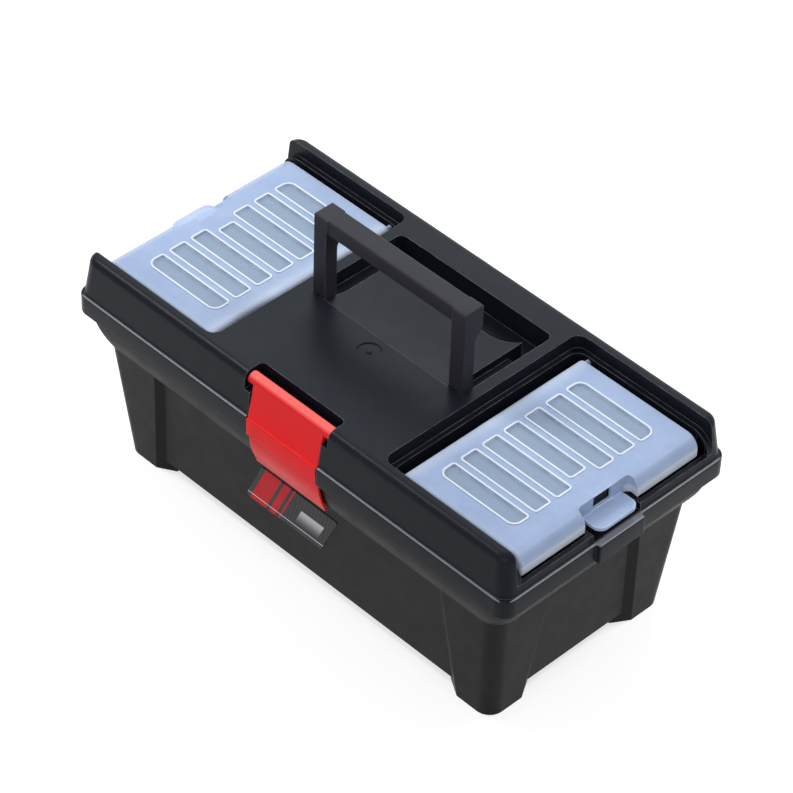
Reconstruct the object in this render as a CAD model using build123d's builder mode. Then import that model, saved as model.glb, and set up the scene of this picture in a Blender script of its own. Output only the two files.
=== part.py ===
from build123d import *
from math import cos, isclose, radians, sin, sqrt, tan
import os

# Plastic tool box, millimetres, +Z up, standing on its four corner feet.
# X runs along the box, -Y is the front with the latch, +Y the back with the hinges.

# Overall sizes
box_length = 312.0          # over the lid's flange
box_depth = 158.0           # over the lid's flange
box_height = 130.0          # ground to the lid's top panel
wall = 2.2                  # moulded wall of tub and lid

# Tub
foot_radius = 9.0           # corner pillars, at the ground
foot_height = 7.0           # the floor hangs this far above the ground
wall_draft = 5.3            # degrees, widening upwards
panel_recess = 3.0          # walls set back between the pillars
pillar_width = 23.0         # a pillar, at the ground
pillar_flare = 6.0          # degrees, a pillar's inner sides, widening upwards
pillar_ramp = 5.0           # slope from a pillar's face down to the wall
floor_round = 5.0           # inside, floor to walls
rim_drop = 27.0             # top panel to the tub's rim
rim_inset = 4.0             # lid flange to tub rim, each side
rim_radius = 8.0
shoulder_height = 28.4      # the wide band under the rim
shoulder_step_long = 9.05   # rim to the pillars under the band, at the ends
shoulder_step_short = 5.05  # the same, front and back
shoulder_lip = 0.6          # the band's lower edge stands out past the pillars
shoulder_soft = 2.0         # its corners are rounder there
bead_out = 1.0              # bead round the rim that carries the lid and the latch
bead_height = 3.5

# Lid
flange_height = 11.6
flange_radius = 8.0
flange_round = 1.0
lid_step = 1.5              # flange to upper body, each side
lid_lean_long = 3.0         # how far the ends lean in up to the top
lid_lean_short = 2.5        # how far front and back lean in
lid_radius = 7.5
lid_round = 4.5             # rounded edge of the top panel
seat_gap = 0.4              # lid over the tub's rim
bump_width = 32.0           # small bulge of the flange under each cover's tab
bump_out = 2.6
gate_place = 19.0           # moulding gate ahead of the box's middle line
gate_radius = 6.5
gate_depth = 0.5
gate_nub = 1.4

# Organiser wells in the lid
bridge = 6.5                # handle recess to a well
rail_width = 6.5            # top rail along front and back
ledge_width = 3.0
ledge_drop = 8.0            # top panel to the ledge round the cover
well_round = 6.0
bin_dip = 5.0               # bin's floor below the tub's rim
bin_play = 3.0              # bin to the tub's end wall
sill_rise = 4.9             # flange to the lower edge of the opening in the lid's end
notch_width = 33.0          # finger notch under the tab
post_width = 10.0           # catch post behind the tab's window
post_depth = 3.0
post_gap = 1.0              # post to the cover's underside

# Organiser covers
cover_gap = 2.8             # well wall to cover, front and back
trench = 4.8                # well ledge to the cover's inner edge
cover_proud = 0.3           # cover above the ledge
cover_wall = 1.8
cover_skirt = 6.0
cover_short = 1.5           # cover ends inside the end of the top panel
cover_roll = 8.0            # outer edge rolls down
cover_hem = 3.5             # inner edge rolls down
cover_edge = 2.0
seat_play = 0.3             # cover above the sill
slot_count = 7
slot_margin = 10.9          # cover's front and back edge to the slots
slot_inset = 12.7           # cover's inner edge to the slots
slot_outset = 10.5          # slots to the rolled edge
slot_width = 9.4
slot_short = 5.0            # the middle slot ends earlier, beside the tab
slot_depth = 0.8
slot_rim = 1.1
slot_rim_height = 0.5
slot_corner = 4.5           # outer corners of the first and the last slot
tab_width = 28.0
tab_side = 4.5              # open beside the tab's lip
tab_corner = 3.0
tab_deep = 6.5              # tab's back wall behind the cover's outer edge
tab_rise = 2.5              # tab's lip above the sill
tab_round = 5.0
window_width = 13.0
window_height = 8.2
window_sill = 0.4           # window above the tab's lip
cover_pin_radius = 1.5
cover_pin_inset = 2.9       # pin from the cover's inner edge
cover_pin_drop = 3.5        # pin under the cover's top

# Carry handle, upright
handle_width = 107.0
leg_width = 9.0
leg_depth = 8.0
leg_front = 7.2             # front face, ahead of the box's middle line
grip_height = 9.5
grip_depth = 13.2
gusset = 5.0
gusset_round = 6.0
handle_round = 1.2
grip_scallop = 0.7          # the grip is slimmer between the legs, front and back
handle_pin_radius = 2.5
handle_pin_reach = 2.0
handle_pin_inset = 6.5      # pin behind the leg's front face

# Recess for the folded handle
recess_gap = 1.0            # handle to recess, each side
recess_margin = 18.2        # recess to the top panel's back edge
fold_gap = 1.2              # in front of the legs
recess_round = 4.0
plateau_drop = 4.0          # top panel to the plateau between the legs
plateau_slope = 15.6        # length of its sloping front
scoop_depth = 8.5           # finger scoop cut into the plateau's back
scoop_radius = 20.0
channel_gap = 0.3           # plateau to handle leg
grip_gap = 0.8              # plateau to the folded grip

# Latch
latch_width = 50.0
latch_barrel = 58.6
latch_axis_inset = 4.5      # barrel's axis behind the top panel's front edge
latch_axis_drop = 5.0       # and below the top panel
latch_radius = 3.5
latch_wall = 2.0
latch_proud = 0.2           # latch block ahead of the flange
latch_gap = 0.7             # each side, in the lid's notch
latch_block_drop = 0.6      # raised block below the flange's top
latch_block_height = 10.5
latch_block_step = 1.2      # block stands out past the plate
latch_block_round = 0.6
latch_pin_radius = 1.8
latch_pin_reach = 2.0
lip_wall = 1.5              # lower lip, which follows the tub's shoulder
lip_clear = 2.0             # it leaves the shoulder this far above its lower edge
latch_tail = 3.6            # and ends this far below it
latch_pocket_deep = 7.3     # pocket behind the barrel's axis
latch_pocket_low = 5.5      # and below it
latch_pocket_round = 3.0
tooth_gap = 0.6             # hook under the tub's bead
tooth_height = 3.0
tooth_bite = 0.6

# Hinges
hinge_x = 85.0
hinge_out = 1.0             # hinge axis behind the flange
hinge_drop = 4.0            # and below the tub's rim
knuckle_radius = 3.3
knuckle_width = 7.4
lug_width = 4.0
hinge_play = 0.3            # between knuckle and lug
hinge_pin_radius = 1.5
pin_end = 0.8               # pin past the outer lugs
pin_fit = 0.06              # running fit round every pin

# Label on the front wall
label_width = 56.0
label_height = 31.0
label_lean = 15.0           # its sides lean
label_shift = -7.0
label_drop = 13.1           # tub's shoulder to the label
label_thick = 0.3
label_round = 1.5

# Derived places: hinges and the middle of the whole
hinge_y = box_depth / 2 + hinge_out
overhang = hinge_y + knuckle_radius - box_depth / 2 - latch_proud
datum = Plane((0, -overhang / 2, 0))
pin_length = knuckle_width + 2 * (lug_width + hinge_play + pin_end)

# Derived places: tub
draft = tan(radians(wall_draft))
rim_height = box_height - rim_drop
rim_half_x = box_length / 2 - rim_inset
rim_half_y = box_depth / 2 - rim_inset
shoulder_bottom = rim_height - shoulder_height
foot_half_x = rim_half_x - shoulder_step_long - shoulder_bottom * draft
foot_half_y = rim_half_y - shoulder_step_short - shoulder_bottom * draft
hinge_height = rim_height - hinge_drop
label_middle = shoulder_bottom - label_drop - label_height / 2

# Derived places: lid
flange_top = rim_height + seat_gap + wall
flange_bottom = flange_top - flange_height
shoulder_curve = flange_bottom - shoulder_bottom
lid_half_x = box_length / 2 - lid_step
lid_half_y = box_depth / 2 - lid_step
top_half_x = lid_half_x - lid_lean_long
top_half_y = lid_half_y - lid_lean_short
ledge_height = box_height - ledge_drop
sill_height = flange_top + sill_rise

# Derived places: handle and its recess
recess_half = handle_width / 2 + recess_gap
recess_front = -leg_front - fold_gap
recess_back = top_half_y - recess_margin
handle_back = leg_depth - leg_front
handle_pin_y = handle_pin_inset - leg_front
handle_pin_z = box_height - handle_pin_inset
grip_top = handle_pin_z + recess_back - recess_gap - handle_pin_y
grip_bottom = grip_top - grip_height
recess_floor = handle_pin_z - grip_depth + handle_pin_inset - recess_gap
plateau_half = handle_width / 2 - leg_width - channel_gap
plateau_top = box_height - plateau_drop
plateau_back = handle_pin_y + grip_bottom - handle_pin_z - grip_gap
scoop_back = plateau_back - scoop_depth
channel_floor = box_height - leg_depth - grip_gap
channel_front = handle_pin_y + handle_pin_inset + grip_gap
channel_back = handle_pin_y + grip_bottom - 2 * gusset - handle_pin_z - grip_gap
channel_end = channel_back + gusset

# Derived places: wells and covers
well_start = recess_half + bridge
well_half = top_half_y - rail_width
well_floor = rim_height - bin_dip
bin_half = well_half - ledge_width
bin_start = well_start + ledge_width
bin_end = rim_half_x - 2 * wall - bin_play
cover_top = ledge_height + cover_proud
cover_half = bin_half - cover_gap
cover_start = bin_start + trench
cover_end = top_half_x - cover_short
cover_bend = cover_end - cover_roll
cover_seat = sill_height + seat_play
cover_pin_x = cover_start + cover_pin_inset
cover_pin_z = cover_top - cover_pin_drop
slot_start = cover_start + slot_inset
slot_length = cover_bend - slot_outset - slot_start
slot_pitch = 2 * (cover_half - slot_margin) / slot_count
tab_back = cover_end - tab_deep
tab_reach = box_length / 2
tab_top = sill_height + tab_rise
tab_bottom = tab_top - cover_wall
post_top = cover_top - cover_wall - post_gap

# Derived places: latch
latch_axis_y = top_half_y - latch_axis_inset
latch_axis_z = box_height - latch_axis_drop
latch_half = latch_width / 2 + latch_gap
barrel_half = latch_barrel / 2 + latch_gap
latch_wall_y = -latch_axis_y - latch_radius + latch_wall + latch_gap
latch_pocket_back = latch_axis_y - latch_pocket_deep
latch_pocket_floor = latch_axis_z - latch_pocket_low
latch_block_top = flange_top - latch_block_drop
latch_bottom = shoulder_bottom - latch_tail


def level(z):
    """Level plane at height z, over the middle of the tub."""
    return datum.offset(z)


def side(x):
    """Upright plane across the box at x: local x runs to the back, local y up."""
    return Plane(datum.origin + Vector(x, 0, 0), x_dir=(0, 1, 0), z_dir=(1, 0, 0))


def front(y):
    """Upright plane along the box at y: local x runs along the box, local y up."""
    return Plane(datum.origin + Vector(0, y, 0), x_dir=(1, 0, 0), z_dir=(0, -1, 0))


def rounded_plan(half_x, half_y, radius, z):
    """Rounded rectangle at height z."""
    with BuildSketch(level(z)) as plan:
        RectangleRounded(2 * half_x, 2 * half_y, radius)
    return plan.sketch


def lower_plan(inset, z):
    """Outline of the drafted lower tub at height z, drawn in by inset."""
    grow = z * draft - inset
    return rounded_plan(foot_half_x + grow, foot_half_y + grow, foot_radius - inset / 2, z)


def pillar_plan(inset, z):
    """Plan of one corner at height z: the pillar's two inner sides are ramps that move apart upwards."""
    face_x = foot_half_x + z * draft - inset
    face_y = foot_half_y + z * draft - inset
    start_x = foot_half_x - pillar_width - z * tan(radians(pillar_flare)) + inset
    start_y = foot_half_y - pillar_width - z * tan(radians(pillar_flare)) + inset
    depth = 2 * panel_recess
    run = 2 * pillar_ramp
    with BuildSketch(level(z)) as plan:
        with BuildLine():
            Polyline(
                (start_x + run, face_y + depth),
                (face_x + depth, face_y + depth),
                (face_x + depth, start_y + run),
                (face_x - depth, start_y - run),
                (start_x - run, start_y - run),
                (start_x - run, face_y - depth),
                close=True,
            )
        make_face()
    return plan.sketch


def lower_tub(inset):
    """Four corner pillars from the ground up, and the walls and floor set back between them."""
    top = shoulder_bottom + shoulder_curve / 3
    with BuildPart() as walls:
        loft([lower_plan(panel_recess + inset, foot_height + inset), lower_plan(panel_recess + inset, top)])
        if inset:
            fillet(walls.edges().group_by(Axis.Z)[0], floor_round)
    with BuildPart() as corners:
        loft([pillar_plan(inset, inset), pillar_plan(inset, top)])
        mirror(about=Plane(datum.origin, z_dir=(1, 0, 0)))
        mirror(about=Plane(datum.origin, z_dir=(0, 1, 0)))
    with BuildPart() as form:
        loft([lower_plan(inset, inset), lower_plan(inset, top)])
        add(corners.part, mode=Mode.INTERSECT)
        add(walls.part)
    return form.part


def drawn_in(step, z):
    """How far the shoulder is drawn in at height z: an arc, upright under the flange."""
    reach = step - shoulder_lip
    radius = (reach ** 2 + shoulder_curve ** 2) / (2 * reach)
    return radius - sqrt(radius ** 2 - (flange_bottom - z) ** 2)


def shoulder(inset, top):
    """Wide band under the rim: upright above, and drawn in along large arcs below."""
    sections = 4
    plans = []
    for index in range(sections + 1):
        share = index / sections
        z = flange_bottom - share * (shoulder_curve - inset)
        half_x = rim_half_x - drawn_in(shoulder_step_long, z) - inset
        half_y = rim_half_y - drawn_in(shoulder_step_short, z) - inset
        plans.append(rounded_plan(half_x, half_y, rim_radius - inset + share * shoulder_soft, z))
    with BuildPart() as form:
        loft(plans)
        add(plans[0])
        extrude(amount=top - flange_bottom)
    return form.part


lug_offset = (knuckle_width + lug_width) / 2 + hinge_play

# Tub: moulded box with corner pillars, a wide shoulder and hinge lugs
with BuildPart() as base_tub:
    add(lower_tub(0))
    add(shoulder(0, rim_height))
    add(rounded_plan(rim_half_x + bead_out, rim_half_y + bead_out, rim_radius, rim_height - bead_height))
    extrude(amount=bead_height)
    for x in (-hinge_x - lug_offset, -hinge_x + lug_offset, hinge_x - lug_offset, hinge_x + lug_offset):
        with BuildSketch(side(x)) as lug:
            with BuildLine():
                Polyline(
                    (rim_half_y - wall / 2, hinge_height + knuckle_radius),
                    (hinge_y, hinge_height + knuckle_radius),
                    (hinge_y, hinge_height - knuckle_radius),
                    (rim_half_y - wall / 2, hinge_height - 3 * knuckle_radius),
                    close=True,
                )
            make_face()
            with Locations((hinge_y, hinge_height)):
                Circle(knuckle_radius)
        extrude(amount=lug_width / 2, both=True)
    add(lower_tub(wall), mode=Mode.SUBTRACT)
    add(shoulder(wall, rim_height + bead_height), mode=Mode.SUBTRACT)
    with BuildSketch(side(0)):
        with Locations((hinge_y, hinge_height)):
            Circle(hinge_pin_radius + pin_fit)
    extrude(amount=box_length / 2, both=True, mode=Mode.SUBTRACT)

# Hinge pins
hinge_pins = []
for x in (-hinge_x, hinge_x):
    with BuildPart() as hinge_pin:
        with BuildSketch(side(x)):
            with Locations((hinge_y, hinge_height)):
                Circle(hinge_pin_radius)
        extrude(amount=pin_length / 2, both=True)
        chamfer(hinge_pin.edges().filter_by(GeomType.CIRCLE), hinge_pin_radius / 4)
    hinge_pins.append(hinge_pin)

# Label: thin leaning sheet on the drafted front wall
label_depth = foot_half_y - panel_recess + label_middle * draft
label_plane = Plane(
    datum.origin + Vector(label_shift, -label_depth, label_middle),
    x_dir=(1, 0, 0),
    z_dir=(0, -cos(radians(wall_draft)), -sin(radians(wall_draft))),
)
with BuildPart() as front_label:
    with BuildSketch(label_plane) as label_outline:
        with BuildLine():
            Polyline(
                (-label_width / 2 - label_lean / 2, -label_height / 2),
                (label_width / 2 - label_lean / 2, -label_height / 2),
                (label_width / 2 + label_lean / 2, label_height / 2),
                (-label_width / 2 + label_lean / 2, label_height / 2),
                close=True,
            )
        make_face()
        fillet(label_outline.vertices(), label_round)
    extrude(amount=label_thick)


def flange_plan(inset, z):
    """Outline of the lid's flange at height z; the outer one bulges a little under each tab."""
    with BuildSketch(level(z)) as plan:
        RectangleRounded(box_length - 2 * inset, box_depth - 2 * inset, flange_radius - inset)
        if not inset:
            with GridLocations(box_length, 0, 2, 1):
                Rectangle(2 * bump_out, bump_width)
            fillet([v for v in plan.vertices() if isclose(abs(v.Y), bump_width / 2)], bump_out / 3)
    return plan.sketch


def lid_form(inset, bottom):
    """Lid as a solid form: flange and leaning upper body, drawn in by inset."""
    with BuildPart() as form:
        add(flange_plan(inset, bottom))
        extrude(amount=flange_top - inset - bottom)
        if not inset:
            fillet(form.edges().group_by(Axis.Z)[-1], flange_round)
            fillet(form.edges().group_by(Axis.Z)[0], flange_round / 2)
        loft([
            rounded_plan(lid_half_x - inset, lid_half_y - inset, lid_radius - inset, flange_top - 2 * inset),
            rounded_plan(top_half_x - inset, top_half_y - inset, lid_radius - inset, box_height - inset),
        ])
        fillet(form.edges().group_by(Axis.Z)[-1], lid_round - inset)
    return form.part


def well_mouth(out):
    """Upper part of a well: a ledge that rolls down to the sill and runs out through the lid's end."""
    drop = ledge_height - sill_height
    roll_end = cover_bend + drop
    with BuildPart() as form:
        with BuildSketch(front(0)):
            with BuildLine():
                Polyline(
                    (cover_bend, ledge_height - out),
                    (well_start - out, ledge_height - out),
                    (well_start - out, box_height + wall),
                    (box_length, box_height + wall),
                    (box_length, sill_height - out),
                    (roll_end, sill_height - out),
                )
                RadiusArc((roll_end, sill_height - out), (cover_bend, ledge_height - out), -drop)
            make_face()
        extrude(amount=well_half + out, both=True)
        fillet(form.edges().filter_by(Axis.Z).group_by(Axis.X)[0], well_round)
    return form.part


def well_bin(out):
    """Lower part of a well: the organiser's bin under the cover."""
    middle = (bin_start + bin_end) / 2
    with BuildPart() as form:
        with BuildSketch(level(well_floor - out)):
            with Locations((middle, 0)):
                RectangleRounded(bin_end - bin_start + 2 * out, 2 * (bin_half + out), well_round)
        extrude(amount=ledge_height - well_floor + out)
        fillet(form.edges().group_by(Axis.Z)[0], ledge_width)
    return form.part


def sill_passage():
    """Opening over the sill, between the bin and the lid's end."""
    with BuildPart() as form:
        with BuildSketch(front(0)):
            with Locations((bin_end - well_round, sill_height)):
                Rectangle(box_length / 2, ledge_height - sill_height, align=(Align.MIN, Align.MIN))
        extrude(amount=bin_half, both=True)
    return form.part


def finger_notch(out, bottom):
    """Finger notch in the sill under the cover's tab."""
    with BuildPart() as form:
        with BuildSketch(level(bottom)):
            with Locations((bin_end + wall - out, 0)):
                Rectangle(box_length / 2, notch_width + 2 * out, align=(Align.MIN, Align.CENTER))
        extrude(amount=sill_height - bottom)
    return form.part


def catch_post():
    """Catch post that stands in the bin behind the tab's window, with its web."""
    face = tab_back - cover_wall - seat_play
    with BuildPart() as form:
        with BuildSketch(level(well_floor - wall / 2)):
            with Locations((face, 0)):
                Rectangle(post_depth, post_width, align=(Align.MAX, Align.CENTER))
        extrude(amount=post_top - well_floor + wall / 2)
        fillet(form.edges().filter_by(Axis.Y).group_by(Axis.Z)[-1], post_depth / 3)
        with BuildSketch(level(well_floor - wall / 2)):
            with Locations((face - post_depth / 2, 0)):
                Rectangle(
                    bin_end + wall / 2 - face + post_depth / 2, post_depth, align=(Align.MIN, Align.CENTER)
                )
        extrude(amount=sill_height - well_floor)
    return form.part


def plateau(lower):
    """Block between the handle's legs, scooped at its back for fingers, and the channel floors beside it."""
    top = plateau_top - lower
    start = recess_front if lower else recess_front - wall / 2
    arc_start = plateau_half - sqrt(scoop_radius ** 2 - (scoop_radius - plateau_back + scoop_back) ** 2)
    with BuildPart() as form:
        with BuildSketch(side(0)):
            with BuildLine():
                Polyline(
                    (start, recess_floor - wall),
                    (start, box_height - lower),
                    (recess_front + plateau_slope, top),
                    (plateau_back - lower, top),
                    (plateau_back - lower, recess_floor - wall),
                    close=True,
                )
            make_face()
        extrude(amount=plateau_half - lower, both=True)
        with BuildSketch(level(recess_floor - wall)):
            with BuildLine():
                scoop = scoop_back - lower
                arc = RadiusArc((plateau_half, plateau_back - lower), (arc_start, scoop), scoop_radius)
                Line(arc @ 1, (-arc_start, scoop))
                RadiusArc((-arc_start, scoop), (-plateau_half, plateau_back - lower), scoop_radius)
                Polyline(
                    (-plateau_half, plateau_back - lower),
                    (-plateau_half, 2 * recess_back),
                    (plateau_half, 2 * recess_back),
                    (plateau_half, plateau_back - lower),
                )
            make_face()
        extrude(amount=box_height - recess_floor, mode=Mode.SUBTRACT)
        for way in (-1, 1):
            with BuildSketch(side(way * (plateau_half - lower))):
                with BuildLine():
                    Polyline(
                        (channel_front + lower, recess_floor - wall),
                        (channel_front + lower, channel_floor - lower),
                        (channel_back - lower, channel_floor - lower),
                        (channel_end - lower, recess_floor - wall),
                        close=True,
                    )
                make_face()
            extrude(amount=way * (recess_half - plateau_half + lower))
    return form.part


def recess_box(out, top):
    """Recess that takes the folded handle."""
    with BuildPart() as form:
        with BuildSketch(level(recess_floor - out)):
            with Locations((0, (recess_front + recess_back) / 2)):
                RectangleRounded(
                    2 * (recess_half + out), recess_back - recess_front + 2 * out, recess_round
                )
        extrude(amount=top - recess_floor + out)
    return form.part


def latch_pocket(out, top):
    """Pocket in the lid's front: wide above for the latch's barrel, narrow below for its plate."""
    reach = top_half_y - wall / 2 if out else box_depth
    with BuildPart() as form:
        with BuildSketch(level(latch_pocket_floor - out)) as plan:
            with Locations((0, -latch_pocket_back + out)):
                Rectangle(
                    2 * (barrel_half + out), reach - latch_pocket_back + out, align=(Align.CENTER, Align.MAX)
                )
            fillet(plan.vertices().group_by(Axis.Y)[-1], latch_pocket_round)
        extrude(amount=top - latch_pocket_floor + out)
        lower = flange_top - wall if out else flange_bottom - wall
        with BuildSketch(level(lower)):
            with Locations((0, latch_wall_y + out)):
                Rectangle(2 * (latch_half + out), reach + latch_wall_y + out, align=(Align.CENTER, Align.MAX))
        extrude(amount=latch_pocket_floor - lower)
    return form.part


# Lid: one moulding with two organiser wells, a handle recess, a latch pocket and hinge knuckles
lid_solid = lid_form(0, flange_bottom)
with BuildPart() as lid_linings:
    add(well_mouth(wall))
    add(well_bin(wall))
    add(finger_notch(wall, flange_top - wall))
    mirror(about=Plane.YZ)
    add(recess_box(wall, box_height - wall / 2))
    add(latch_pocket(wall, box_height - wall / 2))
    add(lid_solid, mode=Mode.INTERSECT)

with BuildPart() as lid_shell:
    add(lid_solid)
    add(lid_form(wall, flange_bottom - wall), mode=Mode.SUBTRACT)
    add(lid_linings.part)
    for cut in (well_mouth(0), well_bin(0), sill_passage(), finger_notch(0, flange_top + seat_gap)):
        add(cut, mode=Mode.SUBTRACT)
        mirror(cut, about=Plane.YZ, mode=Mode.SUBTRACT)
    post = catch_post()
    add(post)
    mirror(post, about=Plane.YZ)
    add(recess_box(0, box_height + wall), mode=Mode.SUBTRACT)
    add(plateau(0))
    add(plateau(wall), mode=Mode.SUBTRACT)
    add(latch_pocket(0, box_height + wall), mode=Mode.SUBTRACT)
    # Moulding gate: a shallow dish with a nub
    with BuildSketch(level(box_height)):
        with Locations((0, -gate_place)):
            Circle(gate_radius)
            Circle(gate_nub, mode=Mode.SUBTRACT)
    extrude(amount=-gate_depth, mode=Mode.SUBTRACT)
    # Back flange is shorter, so that it swings clear of the rim
    with BuildSketch(level(flange_bottom - wall)):
        with Locations((0, rim_half_y)):
            Rectangle(2 * box_length, box_depth, align=(Align.CENTER, Align.MIN))
    extrude(amount=hinge_height - knuckle_radius / 2 - flange_bottom + wall, mode=Mode.SUBTRACT)
    # Slots in the flange for the tub's lugs
    with BuildSketch(level(flange_bottom - wall)):
        with GridLocations(2 * hinge_x, 0, 2, 1):
            with Locations((0, rim_half_y + bead_out)):
                Rectangle(pin_length + 2 * hinge_play, box_depth, align=(Align.CENTER, Align.MIN))
    extrude(amount=flange_height, mode=Mode.SUBTRACT)
    for x in (-hinge_x, hinge_x):
        with BuildSketch(side(x)) as knuckle:
            with BuildLine():
                Polyline(
                    (hinge_y - knuckle_radius, hinge_height),
                    (hinge_y - knuckle_radius, flange_top),
                    (box_depth / 2, flange_top),
                    (hinge_y + knuckle_radius, hinge_height),
                    close=True,
                )
            make_face()
            with Locations((hinge_y, hinge_height)):
                Circle(knuckle_radius)
                Circle(hinge_pin_radius + pin_fit, mode=Mode.SUBTRACT)
        extrude(amount=knuckle_width / 2, both=True)
    # Bores for the handle's, latch's and covers' pins
    for x, way in ((-recess_half, -1), (recess_half, 1)):
        with BuildSketch(side(x)):
            with Locations((handle_pin_y, handle_pin_z)):
                Circle(handle_pin_radius + pin_fit)
        extrude(amount=way * 2 * wall, mode=Mode.SUBTRACT)
    with BuildSketch(side(0)):
        with Locations((-latch_axis_y, latch_axis_z)):
            Circle(latch_pin_radius + pin_fit)
    extrude(amount=barrel_half + wall, both=True, mode=Mode.SUBTRACT)
    with BuildSketch(front(0)):
        with Locations((-cover_pin_x, cover_pin_z), (cover_pin_x, cover_pin_z)):
            Circle(cover_pin_radius + pin_fit)
    extrude(amount=bin_half + wall, both=True, mode=Mode.SUBTRACT)


def cover_block(inset, skirt):
    """Cover as a block: level top, rolled inner edge, outer edge rolled down to the sill."""
    top = cover_top - inset
    low = cover_seat - inset
    with BuildPart() as form:
        with BuildSketch(front(0)) as profile:
            with BuildLine():
                Polyline(
                    (cover_bend, top),
                    (cover_start + inset, top),
                    (cover_start + inset, cover_top - skirt),
                    (cover_bend, cover_top - skirt),
                    (cover_bend, low),
                    (cover_end - inset, low),
                    (cover_end - inset, cover_top - cover_roll),
                )
                RadiusArc((cover_end - inset, cover_top - cover_roll), (cover_bend, top), inset - cover_roll)
            make_face()
            fillet(profile.vertices().group_by(Axis.X)[0].sort_by(Axis.Y)[-1], cover_hem - inset)
        extrude(amount=cover_half - inset, both=True)
    return form.part


def slot_outline(index, grow, z):
    """Plan of one sunk panel, or of the rim round it; the outer two have a pair of large corners."""
    length = slot_length - (slot_short if index == slot_count // 2 else 0)
    low = slot_corner if index == 0 else slot_rim
    high = slot_corner if index == slot_count - 1 else slot_rim
    with BuildSketch(level(z)) as plan:
        with Locations((slot_start + length / 2, (index - (slot_count - 1) / 2) * slot_pitch)):
            Rectangle(length + 2 * grow, slot_width + 2 * grow)
        fillet(plan.vertices().group_by(Axis.Y)[0], low + grow)
        fillet(plan.vertices().group_by(Axis.Y)[-1], high + grow)
    return plan.sketch


def tab_outline(out, reach):
    """Plan of the tab's place in the cover's outer edge."""
    with BuildSketch(level(tab_bottom)) as plan:
        with Locations((tab_back - out, 0)):
            Rectangle(
                reach - tab_back + out, tab_width + 2 * (tab_side + out), align=(Align.MIN, Align.CENTER)
            )
        fillet(plan.vertices().group_by(Axis.X)[0], tab_corner + out)
    return plan.sketch


def tab_walls():
    """Solid behind and beside the tab's place, as high as the cover's rolled edge."""
    with BuildPart() as form:
        add(tab_outline(cover_wall, cover_end))
        extrude(amount=cover_top - tab_bottom)
        add(cover_block(0, cover_top - tab_bottom), mode=Mode.INTERSECT)
    return form.part


# Organiser covers: rolled translucent mouldings with seven sunk panels and a catch tab
covers = []
for name, facing in (("organiser_cover_left", -1), ("organiser_cover_right", 1)):
    with BuildPart() as cover:
        add(cover_block(0, cover_skirt))
        fillet(cover.faces().sort_by(Axis.Z)[-1].edges().filter_by(Axis.X), cover_edge)
        with BuildSketch(front(0)):
            with Locations((cover_pin_x, cover_pin_z)):
                Circle(cover_pin_radius)
        extrude(amount=bin_half + wall, both=True)
        add(cover_block(cover_wall, cover_skirt + cover_wall), mode=Mode.SUBTRACT)
        for index in range(slot_count):
            add(slot_outline(index, slot_rim, cover_top - cover_wall / 2))
            extrude(amount=cover_wall / 2 + slot_rim_height)
            add(slot_outline(index, 0, cover_top - slot_depth))
            extrude(amount=slot_depth + slot_rim_height, mode=Mode.SUBTRACT)
        add(tab_walls())
        add(tab_outline(0, tab_reach + cover_roll))
        extrude(amount=cover_top + cover_roll - tab_bottom, both=True, mode=Mode.SUBTRACT)
        with BuildSketch(level(tab_bottom)) as lip:
            with Locations((tab_back - cover_wall / 2, 0)):
                Rectangle(tab_reach - tab_back + cover_wall / 2, tab_width, align=(Align.MIN, Align.CENTER))
            fillet(lip.vertices().group_by(Axis.X)[-1], tab_round)
        extrude(amount=cover_wall)
        with BuildSketch(level(tab_top + window_sill)):
            with Locations((tab_back, 0)):
                Rectangle(4 * cover_wall, window_width)
        extrude(amount=window_height, mode=Mode.SUBTRACT)
        if facing < 0:
            mirror(about=Plane.YZ, mode=Mode.REPLACE)
    cover.part.label = name
    covers.append(cover)

# Carry handle: two legs with trunnions and gussets, and a slimmer grip between them
with BuildPart() as carry_handle:
    end_radius = handle_pin_y + leg_front
    foot = handle_pin_z - sqrt(end_radius ** 2 - (handle_back - handle_pin_y) ** 2)
    for x in (-handle_width / 2 + leg_width / 2, handle_width / 2 - leg_width / 2):
        with BuildSketch(side(x)) as leg:
            with BuildLine():
                Polyline(
                    (-leg_front, handle_pin_z),
                    (-leg_front, grip_top),
                    (grip_depth - leg_front, grip_top),
                    (grip_depth - leg_front, grip_bottom - gusset),
                    (handle_back, grip_bottom - 2 * gusset),
                    (handle_back, foot),
                )
                RadiusArc((handle_back, foot), (-leg_front, handle_pin_z), end_radius)
            make_face()
            levels = leg.vertices().group_by(Axis.Y)
            fillet(levels[-2] + levels[-3], gusset_round)
            fillet(leg.vertices().group_by(Axis.Y)[-1], handle_round)
        extrude(amount=leg_width / 2, both=True)
    fillet(carry_handle.faces().sort_by(Axis.X)[-1].edges(), handle_round / 2)
    fillet(carry_handle.faces().sort_by(Axis.X)[0].edges(), handle_round / 2)
    with BuildSketch(side(0)):
        with Locations((-leg_front + grip_depth / 2, grip_top - grip_height / 2)):
            RectangleRounded(grip_depth - 2 * grip_scallop, grip_height, handle_round)
    extrude(amount=handle_width / 2 - leg_width / 2, both=True)
    for x, way in ((-handle_width / 2, -1), (handle_width / 2, 1)):
        with BuildSketch(side(x - way * leg_width / 2)):
            with Locations((handle_pin_y, handle_pin_z)):
                Circle(handle_pin_radius)
        extrude(amount=way * (leg_width / 2 + handle_pin_reach))

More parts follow.
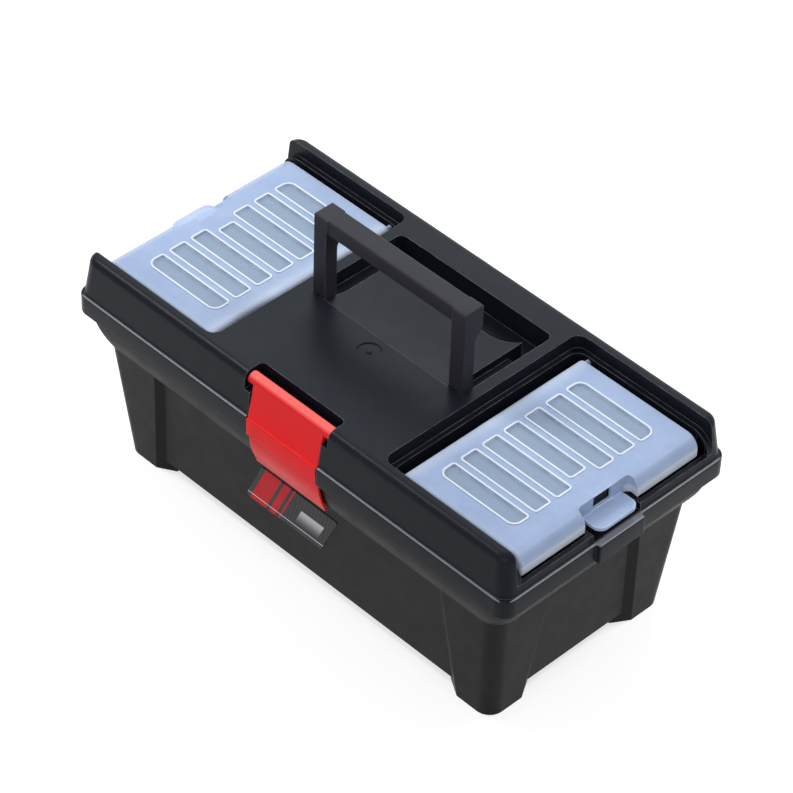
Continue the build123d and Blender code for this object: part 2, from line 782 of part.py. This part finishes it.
# Latch: barrel, leaning plate with a raised block, and a lower lip that curls under the shoulder
with BuildPart() as front_latch:
    block_front = -box_depth / 2 - latch_proud
    block_bottom = latch_block_top - latch_block_height
    plate_front = block_front + latch_block_step
    bead_front = -rim_half_y - bead_out
    bead_under = rim_height - bead_height
    lip_top = block_bottom - lip_wall
    lip_end = shoulder_bottom + lip_clear

    def lip_point(out, z):
        """Point of the lower lip at height z, this far out from the tub's shoulder."""
        return (-rim_half_y + drawn_in(shoulder_step_short, z) - out, z)

    lip_middle = (lip_top + lip_end) / 2
    lip_out = tooth_gap + lip_wall
    tail = lip_point(0, lip_end)[0]
    with BuildSketch(side(0)) as latch_profile:
        with BuildLine():
            Polyline(
                (-latch_axis_y, latch_axis_z + latch_radius),
                (-latch_axis_y - latch_radius, latch_axis_z),
                (plate_front, latch_block_top),
                (block_front, latch_block_top),
                (block_front, block_bottom),
                lip_point(lip_out, lip_top),
            )
            ThreePointArc(
                lip_point(lip_out, lip_top), lip_point(lip_out, lip_middle), lip_point(lip_out, lip_end)
            )
            Polyline(
                lip_point(lip_out, lip_end),
                (tail, latch_bottom),
                (tail + lip_wall, latch_bottom),
                lip_point(tooth_gap, lip_end),
            )
            ThreePointArc(
                lip_point(tooth_gap, lip_end), lip_point(tooth_gap, lip_middle), lip_point(tooth_gap, lip_top)
            )
            Polyline(
                lip_point(tooth_gap, lip_top),
                (bead_front - tooth_gap, bead_under - tooth_gap - tooth_height),
                (bead_front + tooth_bite, bead_under - tooth_gap - tooth_height / 2),
                (bead_front + tooth_bite, bead_under - tooth_gap),
                (bead_front - tooth_gap, bead_under - tooth_gap),
                (bead_front - tooth_gap, latch_block_top - latch_wall),
                (plate_front + latch_wall, latch_block_top),
                (-latch_axis_y - latch_radius + latch_wall, latch_axis_z - latch_radius),
                (-latch_axis_y, latch_axis_z + latch_radius),
            )
        make_face()
        fillet(latch_profile.vertices().group_by(Axis.X)[0], latch_block_round)
    extrude(amount=latch_width / 2, both=True)
    with BuildSketch(side(0)):
        with Locations((-latch_axis_y, latch_axis_z)):
            Circle(latch_radius)
    extrude(amount=latch_barrel / 2, both=True)
    with BuildSketch(side(0)):
        with Locations((-latch_axis_y, latch_axis_z)):
            Circle(latch_pin_radius)
    extrude(amount=latch_barrel / 2 + latch_pin_reach, both=True)

os.makedirs("parts", exist_ok=True)
pieces = {
    "base_tub": base_tub,
    "front_label": front_label,
    "hinge_pin_left": hinge_pins[0],
    "hinge_pin_right": hinge_pins[1],
    "lid_shell": lid_shell,
    "organiser_cover_left": covers[0],
    "organiser_cover_right": covers[1],
    "carry_handle": carry_handle,
    "front_latch": front_latch,
}
for name, piece in pieces.items():
    piece.part.label = name
    export_step(piece.part, f"parts/{name}.step")
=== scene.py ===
from math import cos, radians, sin

import bpy
from mathutils import Matrix, Vector


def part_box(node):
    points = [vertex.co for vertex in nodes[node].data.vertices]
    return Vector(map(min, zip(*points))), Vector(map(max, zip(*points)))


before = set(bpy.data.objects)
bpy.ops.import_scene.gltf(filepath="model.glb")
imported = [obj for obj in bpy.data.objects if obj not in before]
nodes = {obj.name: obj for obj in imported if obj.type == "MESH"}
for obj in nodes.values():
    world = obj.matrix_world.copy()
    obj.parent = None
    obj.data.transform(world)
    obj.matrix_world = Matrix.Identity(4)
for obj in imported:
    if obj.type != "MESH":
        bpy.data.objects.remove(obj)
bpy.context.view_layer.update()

# Camera: the photograph's angle, in metres and degrees
VIEW_AZIMUTH = 44.46
VIEW_ELEVATION = 42.19
VIEW_ROLL = 2.04
VIEW_DISTANCE = 1.9387
VIEW_AIM = Vector((-0.0071, 0.0069, 0.0775))
VIEW_LENS = 171.68          # millimetres on a 36 mm sensor

# Stage
FLOOR_SIZE = 12.0
FLOOR_COLOUR = (0.55, 0.55, 0.55, 1)
FLOOR_GLOW = 0.65           # what the pale floor shows of its own, so that it is white in the picture
WORLD_LIGHT = 0.35          # light of the surroundings on the object

# Heights on the organiser covers, where their slots and rims begin
COVER_LOW, COVER_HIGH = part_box("organiser_cover_right")
SLOT_RIM = 0.0005
SLOT_DEPTH = 0.0008
RIM_TOP = COVER_HIGH.z
COVER_TOP = RIM_TOP - SLOT_RIM
SLOT_FLOOR = COVER_TOP - SLOT_DEPTH
SLOT_START = COVER_LOW.x + 0.0115
SLOT_END = COVER_HIGH.x - 0.0235
SLOT_FADE = 0.001
TAB_HALF = 0.0145
# Width of the hem and heights of the foot, which a painted glow makes paler
HEM_WIDTH = 0.011
FOOT_TOP = COVER_LOW.z + 0.0065
FOOT_FULL = COVER_LOW.z + 0.004

# Top of the latch's barrel, where a painted highlight makes it paler
LATCH_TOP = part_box("front_latch")[1].z
CREST_LOW = LATCH_TOP - 0.0024
CREST_HIGH = LATCH_TOP - 0.0006

# Lid: the body above the flange, the flange's upper edge where a pale line is painted as a highlight, and
# the moulding gate's dish
LID_MIDDLE_Y = -0.00205
LID_HALF_X = 0.1545
LID_HALF_Y = 0.0775
OUTSIDE_NEAR, OUTSIDE_FAR = 0.0001, 0.0005
FLANGE_TOP = 0.1056
FLANGE_HIGHLIGHT_LOW = FLANGE_TOP - 0.0006
FLANGE_HIGHLIGHT_HIGH = FLANGE_TOP - 0.0002
GATE_POINT = (0.0, -0.02105, RIM_TOP)   # at the height of the covers' rims
GATE_RADIUS = 0.0065
GATE_CLEAR_FROM = GATE_RADIUS + 0.0035
GATE_CLEAR_TO = GATE_RADIUS + 0.005

# Label: its layout from the lower left corner, in metres, as starts and widths
LABEL_LEAN = 0.015          # how far the top stands past the foot
LABEL_SOFT = 0.0003         # soft side of each figure
LABEL_WEAVE = 3000.0        # turn of the woven figure, in radians to the metre
RED_BARS = ((0.002, 0.012), (0.016, 0.005), (0.023, 0.0015))
SILVER_ALONG = (0.033, 0.017)
SILVER_UP = (0.0075, 0.012)
SILVER_FADE = (0.008, 0.019)
PALE_LINE = (0.0035, 0.001)

# Black plastics: how strongly wear with painted edge highlights, dust, scuffs and grain show
RUB_AND_HIGHLIGHT_SHARE = 0.85
SPECK_SHARE = 0.12
SCUFF_ROUGHNESS = 0.05
EDGE_COAT = 0.6
COAT_ROUGHNESS = 0.3        # of the polish on worn edges, on the latch too
BLACK_GRAIN = 0.00003

# Shading: points nearer than this are joined, and edges over this angle stay sharp
JOIN_DISTANCE = 0.000002
SHARP_ANGLE = 28.0

LAMP_AIM = Vector((0, 0, 0.08))


def add(tree, kind, inputs=None, **settings):
    """One node with its settings, its inputs given as values or as sockets to link from."""
    node = tree.nodes.new(kind)
    for name, value in settings.items():
        setattr(node, name, value)
    for name, value in (inputs or {}).items():
        if isinstance(value, bpy.types.NodeSocket):
            tree.links.new(value, node.inputs[name])
        else:
            node.inputs[name].default_value = value
    return node


def maths(tree, operation, a, b=0.0, clamp=False):
    """Result of one sum on two values or sockets."""
    return add(tree, "ShaderNodeMath", {0: a, 1: b}, operation=operation, use_clamp=clamp).outputs[0]


def span(tree, value, low, high, out_low=0.0, out_high=1.0):
    """Value spread from low..high to out_low..out_high, with soft ends."""
    node = add(
        tree,
        "ShaderNodeMapRange",
        {"Value": value, "From Min": low, "From Max": high, "To Min": out_low, "To Max": out_high},
        interpolation_type="SMOOTHSTEP",
    )
    return node.outputs["Result"]


def blend(tree, share, first, second):
    """Colour between first and second by share."""
    return add(tree, "ShaderNodeMix", {0: share, 6: first, 7: second}, data_type="RGBA").outputs[2]


def effect(name, inputs, outputs):
    """Empty shader node group with named inputs (name, kind, default) and outputs (name, kind)."""
    group = bpy.data.node_groups.new(name, "ShaderNodeTree")
    for label, kind, default in inputs:
        socket = group.interface.new_socket(label, in_out="INPUT", socket_type=kind)
        if default is not None:
            socket.default_value = default
    for label, kind in outputs:
        group.interface.new_socket(label, in_out="OUTPUT", socket_type=kind)
    return group, group.nodes.new("NodeGroupInput").outputs, group.nodes.new("NodeGroupOutput").inputs


def moulded_grain():
    """Fine spark-eroded grain of a mould, with slow drifts of tone and of polish over the piece."""
    group, given, result = effect(
        "moulded_grain",
        [("Vector", "NodeSocketVector", None), ("Grain Scale", "NodeSocketFloat", 1800.0)],
        [("Height", "NodeSocketFloat"), ("Tone", "NodeSocketFloat"), ("Polish", "NodeSocketFloat")],
    )
    fine = add(group, "ShaderNodeTexNoise",
               {"Vector": given["Vector"], "Scale": given["Grain Scale"], "Detail": 3.0, "Roughness": 0.6})
    drift = add(group, "ShaderNodeTexNoise", {"Vector": given["Vector"], "Scale": 22.0, "Detail": 4.0})
    cloud = add(group, "ShaderNodeTexNoise", {"Vector": given["Vector"], "Scale": 95.0, "Detail": 5.0})
    group.links.new(fine.outputs["Fac"], result["Height"])
    group.links.new(span(group, drift.outputs["Fac"], 0.3, 0.7), result["Tone"])
    group.links.new(span(group, cloud.outputs["Fac"], 0.25, 0.75), result["Polish"])
    return group


def edge_wear_and_highlight():
    """Edges as they leave the mould: slightly rounded, with a mask of where they are made paler, partly by
    wear and partly by a painted highlight.
    """
    group, given, result = effect(
        "edge_wear_and_highlight",
        [("Vector", "NodeSocketVector", None), ("Radius", "NodeSocketFloat", 0.0006)],
        [("Mask", "NodeSocketFloat"), ("Normal", "NodeSocketVector")],
    )
    rounded = add(group, "ShaderNodeBevel", {"Radius": given["Radius"]}, samples=6)
    flat = add(group, "ShaderNodeNewGeometry")
    facing = add(group, "ShaderNodeVectorMath", {0: rounded.outputs["Normal"], 1: flat.outputs["Normal"]},
                 operation="DOT_PRODUCT")
    bend = span(group, maths(group, "SUBTRACT", 1.0, facing.outputs["Value"]), 0.01, 0.2)
    patches = add(group, "ShaderNodeTexNoise", {"Vector": given["Vector"], "Scale": 160.0, "Detail": 4.0})
    wear_and_highlight = maths(group, "MULTIPLY", bend, span(group, patches.outputs["Fac"], 0.35, 0.65, 0.35, 1.0))
    group.links.new(wear_and_highlight, result["Mask"])
    group.links.new(rounded.outputs["Normal"], result["Normal"])
    return group


def handling_marks():
    """Thin scuffs that run one way, and a few specks of dust."""
    group, given, result = effect(
        "handling_marks",
        [("Vector", "NodeSocketVector", None), ("Turn", "NodeSocketFloat", 0.5)],
        [("Scuffs", "NodeSocketFloat"), ("Specks", "NodeSocketFloat")],
    )
    turned = add(group, "ShaderNodeVectorRotate",
                 {"Vector": given["Vector"], "Angle": given["Turn"]}, rotation_type="Z_AXIS")
    long = add(group, "ShaderNodeVectorMath", {0: turned.outputs["Vector"], 1: (35.0, 1400.0, 300.0)},
               operation="MULTIPLY")
    lines = add(group, "ShaderNodeTexNoise",
                {"Vector": long.outputs["Vector"], "Scale": 1.0, "Detail": 2.0})
    dots = add(group, "ShaderNodeTexVoronoi", {"Vector": given["Vector"], "Scale": 260.0}, feature="F1")
    group.links.new(span(group, lines.outputs["Fac"], 0.68, 0.8), result["Scuffs"])
    group.links.new(span(group, dots.outputs["Distance"], 0.07, 0.02), result["Specks"])
    return group


GRAIN = moulded_grain()
EDGES = edge_wear_and_highlight()
MARKS = handling_marks()


def finish_of(name):
    """New material with a Principled shader, and the piece's own coordinates."""
    material = bpy.data.materials.new(name)
    material.use_nodes = True
    tree = material.node_tree
    shader = tree.nodes["Principled BSDF"]
    place = add(tree, "ShaderNodeTexCoord").outputs["Object"]
    return material, tree, shader, place


def use(tree, group, inputs):
    """One of the shared effects with this material's own values."""
    return add(tree, "ShaderNodeGroup", inputs, node_tree=group).outputs


def relief(tree, shader, height, normal, distance):
    """Bump of that height in metres over the rounded edges' normal, on the shader."""
    bump = add(tree, "ShaderNodeBump",
               {"Height": height, "Normal": normal, "Distance": distance, "Strength": 1.0})
    tree.links.new(bump.outputs["Normal"], shader.inputs["Normal"])


def lid_highlight_lines(tree, place):
    """Masks for the lid: a painted highlight line along the flange's upper edge outside the body, and all
    that isn't the gate's dish.
    """
    parts = add(tree, "ShaderNodeSeparateXYZ", {"Vector": place}).outputs
    past_end = maths(tree, "SUBTRACT", maths(tree, "ABSOLUTE", parts["X"]), LID_HALF_X)
    from_middle = maths(tree, "ABSOLUTE", maths(tree, "SUBTRACT", parts["Y"], LID_MIDDLE_Y))
    past_front = maths(tree, "SUBTRACT", from_middle, LID_HALF_Y)
    outside = span(tree, maths(tree, "MAXIMUM", past_end, past_front), OUTSIDE_NEAR, OUTSIDE_FAR)
    # Painted highlight: a thin pale line along the flange's upper edge
    upper = span(tree, parts["Z"], FLANGE_HIGHLIGHT_LOW, FLANGE_HIGHLIGHT_HIGH)
    line = maths(tree, "MULTIPLY", outside, upper)
    gate = add(tree, "ShaderNodeVectorMath", {0: place, 1: GATE_POINT}, operation="DISTANCE")
    clear = span(tree, gate.outputs["Value"], GATE_CLEAR_FROM, GATE_CLEAR_TO)
    return line, clear


def black_plastic(name, deep, pale, rub_highlight_and_dust, gloss, level, edge, lines=None):
    """Black moulded plastic: drifts of tone, edges paler by wear and by painted highlights, polished edges,
    dust specks, scuffs, a wandering roughness.
    """
    material, tree, shader, place = finish_of(name)
    grain = use(tree, GRAIN, {"Vector": place})
    edges = use(tree, EDGES, {"Vector": place, "Radius": edge})
    marks = use(tree, MARKS, {"Vector": place})
    wear_and_highlight = edges["Mask"]
    if lines:
        line, clear = lines(tree, place)
        wear_and_highlight = maths(tree, "MAXIMUM", maths(tree, "MULTIPLY", wear_and_highlight, clear), line)
    colour = blend(tree, grain["Tone"], deep, pale)
    # Paler edges: partly wear, partly a painted highlight, and on the lid the painted flange highlight line
    colour = blend(tree, maths(tree, "MULTIPLY", wear_and_highlight, RUB_AND_HIGHLIGHT_SHARE), colour, rub_highlight_and_dust)
    colour = blend(tree, maths(tree, "MULTIPLY", marks["Specks"], SPECK_SHARE), colour, rub_highlight_and_dust)
    tree.links.new(colour, shader.inputs["Base Color"])
    rough = span(tree, grain["Polish"], 0.0, 1.0, gloss - 0.02, gloss + 0.03)
    rough = maths(tree, "ADD", rough, maths(tree, "MULTIPLY", marks["Scuffs"], SCUFF_ROUGHNESS))
    tree.links.new(rough, shader.inputs["Roughness"])
    tree.links.new(maths(tree, "MULTIPLY", wear_and_highlight, EDGE_COAT), shader.inputs["Coat Weight"])
    shader.inputs["Coat Roughness"].default_value = COAT_ROUGHNESS
    shader.inputs["Specular IOR Level"].default_value = level
    relief(tree, shader, grain["Height"], edges["Normal"], BLACK_GRAIN)
    return material


def red_plastic():
    """Smooth red plastic of the latch, paler on its edges by wear and a painted highlight, and on the
    barrel's top by a painted highlight, with faint flow clouds.
    """
    material, tree, shader, place = finish_of("latch_red")
    grain = use(tree, GRAIN, {"Vector": place, "Grain Scale": 2600.0})
    edges = use(tree, EDGES, {"Vector": place, "Radius": 0.0008})
    marks = use(tree, MARKS, {"Vector": place, "Turn": 1.4})
    colour = blend(tree, grain["Tone"], (0.84, 0.014, 0.018, 1), (0.88, 0.018, 0.022, 1))
    height = add(tree, "ShaderNodeSeparateXYZ", {"Vector": place}).outputs["Z"]
    # Painted highlight along the top of the barrel, and paler edges, partly wear and partly a painted
    # highlight
    crest_highlight = span(tree, height, CREST_LOW, CREST_HIGH, 0.0, 0.75)
    barrel_highlight_and_wear = maths(tree, "MAXIMUM", maths(tree, "MULTIPLY", edges["Mask"], 0.6), crest_highlight)
    colour = blend(tree, barrel_highlight_and_wear, colour, (0.95, 0.18, 0.16, 1))
    tree.links.new(colour, shader.inputs["Base Color"])
    rough = span(tree, grain["Polish"], 0.0, 1.0, 0.28, 0.36)
    rough = maths(tree, "ADD", rough, maths(tree, "MULTIPLY", marks["Scuffs"], 0.1))
    tree.links.new(rough, shader.inputs["Roughness"])
    tree.links.new(maths(tree, "MULTIPLY", edges["Mask"], 0.7), shader.inputs["Coat Weight"])
    shader.inputs["Coat Roughness"].default_value = COAT_ROUGHNESS
    shader.inputs["Specular IOR Level"].default_value = 0.08
    relief(tree, shader, grain["Height"], edges["Normal"], 0.000015)
    return material


def frosted_plastic():
    """Frosted bluish plastic of the covers: darker in the slots, and a painted glow and highlight that make
    rims, hems and foot paler.
    """
    material, tree, shader, place = finish_of("cover_frosted")
    grain = use(tree, GRAIN, {"Vector": place, "Grain Scale": 1300.0})
    edges = use(tree, EDGES, {"Vector": place, "Radius": 0.0005})
    glow = use(tree, EDGES, {"Vector": place, "Radius": 0.002})
    parts = add(tree, "ShaderNodeSeparateXYZ", {"Vector": place}).outputs
    height = parts["Z"]
    from_middle = maths(tree, "ABSOLUTE", parts["X"])
    rim = span(tree, height, COVER_TOP + 0.1 * SLOT_RIM, COVER_TOP + 0.7 * SLOT_RIM)
    sunk = maths(tree, "MULTIPLY", span(tree, height, SLOT_FLOOR - 0.0004, SLOT_FLOOR - 0.0001),
                 span(tree, height, SLOT_FLOOR + 0.0005, SLOT_FLOOR + 0.0002))
    sunk = maths(tree, "MULTIPLY", sunk, span(tree, from_middle, SLOT_END, SLOT_END - SLOT_FADE))
    sunk = maths(tree, "MULTIPLY", sunk, span(tree, from_middle, SLOT_START, SLOT_START + SLOT_FADE))
    to_front = maths(tree, "SUBTRACT", parts["Y"], COVER_LOW.y)
    to_back = maths(tree, "SUBTRACT", COVER_HIGH.y, parts["Y"])
    to_hinge = maths(tree, "SUBTRACT", from_middle, COVER_LOW.x)
    border = maths(tree, "MINIMUM", maths(tree, "MINIMUM", to_front, to_back), to_hinge)
    hem = span(tree, border, HEM_WIDTH, 0.0, 0.0, 0.5)
    beside_tab = maths(tree, "ABSOLUTE", maths(tree, "SUBTRACT", parts["Y"], LID_MIDDLE_Y))
    foot = maths(tree, "MULTIPLY", span(tree, height, FOOT_TOP, FOOT_FULL, 0.0, 0.8),
                 span(tree, beside_tab, TAB_HALF, TAB_HALF + 0.001))
    # Painted glow and highlight: slot rims, edges, a wide band along edges, the hems and the foot made
    # paler
    painted_glow = maths(tree, "MAXIMUM", rim, edges["Mask"])
    for share in (maths(tree, "MULTIPLY", glow["Mask"], 0.6), hem, foot):
        painted_glow = maths(tree, "MAXIMUM", painted_glow, share)
    colour = blend(tree, grain["Tone"], (0.42, 0.54, 0.79, 1), (0.47, 0.585, 0.83, 1))
    colour = blend(tree, sunk, colour, (0.33, 0.42, 0.55, 1))
    colour = blend(tree, painted_glow, colour, (0.8, 0.87, 0.96, 1))
    tree.links.new(colour, shader.inputs["Base Color"])
    solid = span(tree, grain["Polish"], 0.0, 1.0, 0.6, 0.66)
    solid = maths(tree, "ADD", solid, maths(tree, "MULTIPLY", painted_glow, 0.2), clamp=True)
    tree.links.new(solid, shader.inputs["Alpha"])
    tree.links.new(span(tree, grain["Polish"], 0.0, 1.0, 0.36, 0.46), shader.inputs["Roughness"])
    shader.inputs["Specular IOR Level"].default_value = 0.3
    relief(tree, shader, grain["Height"], edges["Normal"], 0.00002)
    return material


def label_film():
    """Thin film: a dark woven field with slanted red bars at one side and a silver bar at the other."""
    low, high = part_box("front_label")
    lean = LABEL_LEAN / (high.z - low.z)
    material, tree, shader, place = finish_of("label_film")
    grain = use(tree, GRAIN, {"Vector": place})
    parts = add(tree, "ShaderNodeSeparateXYZ", {"Vector": place}).outputs
    up = maths(tree, "SUBTRACT", parts["Z"], low.z)
    from_left = maths(tree, "SUBTRACT", parts["X"], low.x)
    along = maths(tree, "SUBTRACT", from_left, maths(tree, "MULTIPLY", up, lean))

    def strip(value, start, width):
        """1 where the value lies in a strip of that width, with soft sides."""
        return maths(tree, "MULTIPLY", span(tree, value, start, start + LABEL_SOFT),
                     span(tree, value, start + width, start + width - LABEL_SOFT))

    def thread(operation):
        """Wave of the threads that run one way across the film."""
        slant = maths(tree, operation, parts["X"], parts["Z"])
        return maths(tree, "SINE", maths(tree, "MULTIPLY", slant, LABEL_WEAVE))

    figure = span(tree, maths(tree, "MULTIPLY", thread("ADD"), thread("SUBTRACT")), -0.2, 0.6)
    colour = blend(tree, figure, (0.004, 0.004, 0.005, 1), (0.13, 0.13, 0.14, 1))
    silver = blend(tree, span(tree, up, *SILVER_FADE), (0.1, 0.1, 0.11, 1), (0.62, 0.62, 0.64, 1))
    bar = maths(tree, "MULTIPLY", strip(along, *SILVER_ALONG), strip(up, *SILVER_UP))
    colour = blend(tree, bar, colour, silver)
    for start, width in RED_BARS:
        colour = blend(tree, strip(along, start, width), colour, (0.62, 0.012, 0.02, 1))
    colour = blend(tree, strip(up, *PALE_LINE), colour, (0.7, 0.7, 0.7, 1))
    tree.links.new(colour, shader.inputs["Base Color"])
    tree.links.new(span(tree, grain["Polish"], 0.0, 1.0, 0.32, 0.42), shader.inputs["Roughness"])
    shader.inputs["Specular IOR Level"].default_value = 0.06
    return material


def pin_wire():
    """Plain steel wire, drawn along its length."""
    material, tree, shader, place = finish_of("pin_wire")
    grain = use(tree, GRAIN, {"Vector": place, "Grain Scale": 900.0})
    colour = blend(tree, grain["Tone"], (0.42, 0.42, 0.43, 1), (0.56, 0.56, 0.57, 1))
    tree.links.new(colour, shader.inputs["Base Color"])
    tree.links.new(span(tree, grain["Polish"], 0.0, 1.0, 0.28, 0.42), shader.inputs["Roughness"])
    shader.inputs["Metallic"].default_value = 1.0
    return material


def soft_shading():
    """Geometry nodes that join the loose triangles and shade smoothly across all but sharp edges."""
    group = bpy.data.node_groups.new("soft_shading", "GeometryNodeTree")
    group.interface.new_socket("Geometry", in_out="INPUT", socket_type="NodeSocketGeometry")
    group.interface.new_socket("Geometry", in_out="OUTPUT", socket_type="NodeSocketGeometry")
    mesh = group.nodes.new("NodeGroupInput").outputs["Geometry"]
    joined = add(group, "GeometryNodeMergeByDistance", {"Geometry": mesh, "Distance": JOIN_DISTANCE})
    smooth = add(group, "GeometryNodeSetShadeSmooth",
                 {"Geometry": joined.outputs["Geometry"], "Shade Smooth": True}, domain="FACE")
    angle = add(group, "GeometryNodeInputMeshEdgeAngle").outputs["Unsigned Angle"]
    sharp = add(group, "FunctionNodeCompare", {0: angle, 1: radians(SHARP_ANGLE)}, operation="GREATER_THAN")
    parted = add(group, "GeometryNodeSetShadeSmooth",
                 {"Geometry": smooth.outputs["Geometry"], "Selection": sharp.outputs["Result"],
                  "Shade Smooth": False}, domain="EDGE")
    group.links.new(parted.outputs["Geometry"], group.nodes.new("NodeGroupOutput").inputs["Geometry"])
    return group


# Each black plastic's pale colour is used for edge wear with painted highlights, and for dust specks
finishes = {
    "base_tub": black_plastic(
        "tub_black",
        deep=(0.0048, 0.0047, 0.005, 1),
        pale=(0.0056, 0.0055, 0.0059, 1),
        rub_highlight_and_dust=(0.009, 0.009, 0.0095, 1),
        gloss=0.42, level=0.085, edge=0.0003,
    ),
    "lid_shell": black_plastic(
        "lid_black",
        deep=(0.0066, 0.0078, 0.0122, 1),
        pale=(0.0074, 0.0087, 0.0135, 1),
        rub_highlight_and_dust=(0.2, 0.215, 0.25, 1),
        gloss=0.34, level=0.1, edge=0.0006, lines=lid_highlight_lines,
    ),
    "carry_handle": black_plastic(
        "handle_charcoal",
        deep=(0.024, 0.0235, 0.03, 1),
        pale=(0.027, 0.0262, 0.033, 1),
        rub_highlight_and_dust=(0.16, 0.158, 0.172, 1),
        gloss=0.4, level=0.12, edge=0.0007,
    ),
    "front_latch": red_plastic(),
    "organiser_cover_left": frosted_plastic(),
    "front_label": label_film(),
    "hinge_pin_left": pin_wire(),
}
finishes["organiser_cover_right"] = finishes["organiser_cover_left"]
finishes["hinge_pin_right"] = finishes["hinge_pin_left"]

SMOOTH = soft_shading()
for name, node in nodes.items():
    node.data.materials.clear()
    node.data.materials.append(finishes[name])
    node.modifiers.new("soft_shading", "NODES").node_group = SMOOTH


def seen_as_white(tree):
    """1 for what the camera, a gloss or a clear piece sees of a surface, 0 for the light that it gives."""
    rays = add(tree, "ShaderNodeLightPath").outputs
    seen = maths(tree, "MAXIMUM", rays["Is Camera Ray"], rays["Is Glossy Ray"])
    return maths(tree, "MAXIMUM", seen, rays["Is Transmission Ray"])


def floor_finish():
    """Pale floor: it takes the box's shadow, and glows a little where it is seen."""
    material = bpy.data.materials.new("pale_floor")
    material.use_nodes = True
    tree = material.node_tree
    tree.nodes.remove(tree.nodes["Principled BSDF"])
    matt = add(tree, "ShaderNodeBsdfDiffuse", {"Color": FLOOR_COLOUR})
    glow = add(tree, "ShaderNodeEmission",
               {"Strength": maths(tree, "MULTIPLY", seen_as_white(tree), FLOOR_GLOW)})
    both = add(tree, "ShaderNodeAddShader", {0: matt.outputs["BSDF"], 1: glow.outputs["Emission"]})
    tree.links.new(both.outputs["Shader"], tree.nodes["Material Output"].inputs["Surface"])
    return material


def make_floor():
    """Square floor at the feet's level."""
    half = FLOOR_SIZE / 2
    mesh = bpy.data.meshes.new("floor")
    corners = [(-half, -half, 0), (half, -half, 0), (half, half, 0), (-half, half, 0)]
    mesh.from_pydata(corners, [], [(0, 1, 2, 3)])
    mesh.materials.append(floor_finish())
    floor = bpy.data.objects.new("floor", mesh)
    bpy.context.scene.collection.objects.link(floor)


def make_world():
    """White surroundings, dimmer as a source of light."""
    world = bpy.data.worlds.new("studio")
    world.use_nodes = True
    bpy.context.scene.world = world
    tree = world.node_tree
    shown = span(tree, seen_as_white(tree), 0.0, 1.0, WORLD_LIGHT, 1.0)
    tree.links.new(shown, tree.nodes["Background"].inputs["Strength"])
    tree.nodes["Background"].inputs["Color"].default_value = (1, 1, 1, 1)


def softbox(name, place, size, power, tint=(1.0, 1.0, 1.0)):
    """Square area lamp at a place in metres, facing the middle of the box."""
    lamp = bpy.data.lights.new(name, "AREA")
    lamp.color = tint
    lamp.shape = "SQUARE"
    lamp.size = size
    lamp.energy = power
    item = bpy.data.objects.new(name, lamp)
    item.location = place
    item.rotation_euler = (LAMP_AIM - Vector(place)).to_track_quat("-Z", "Y").to_euler()
    bpy.context.scene.collection.objects.link(item)


def make_camera():
    """Camera on its line of sight through the aim, turned by the roll."""
    azimuth, elevation, roll = (radians(a) for a in (VIEW_AZIMUTH, VIEW_ELEVATION, VIEW_ROLL))
    back = Vector((sin(azimuth) * cos(elevation), -cos(azimuth) * cos(elevation), sin(elevation)))
    level = Vector((cos(azimuth), sin(azimuth), 0))
    upright = back.cross(level)
    right = cos(roll) * level + sin(roll) * upright
    up = back.cross(right)
    lens = bpy.data.cameras.new("view")
    lens.sensor_width = 36.0
    lens.lens = VIEW_LENS
    camera = bpy.data.objects.new("view", lens)
    camera.matrix_world = Matrix.LocRotScale(
        VIEW_AIM + back * VIEW_DISTANCE, Matrix((right, up, back)).transposed(), None)
    bpy.context.scene.collection.objects.link(camera)
    bpy.context.scene.camera = camera


make_floor()
make_world()
softbox("front_edge_box", (-0.85, -0.4, 1.25), 0.35, 9.0)
softbox("end_edge_box", (0.5, 0.85, 1.3), 0.35, 9.0)
softbox("top_sheen_box", (-0.85, 0.83, 1.15), 1.2, 9.0, (0.8, 0.91, 1.0))
softbox("fill_box", (0.9, -1.3, 0.8), 0.9, 7.0)
make_camera()
bpy.context.scene.view_settings.view_transform = "Standard"
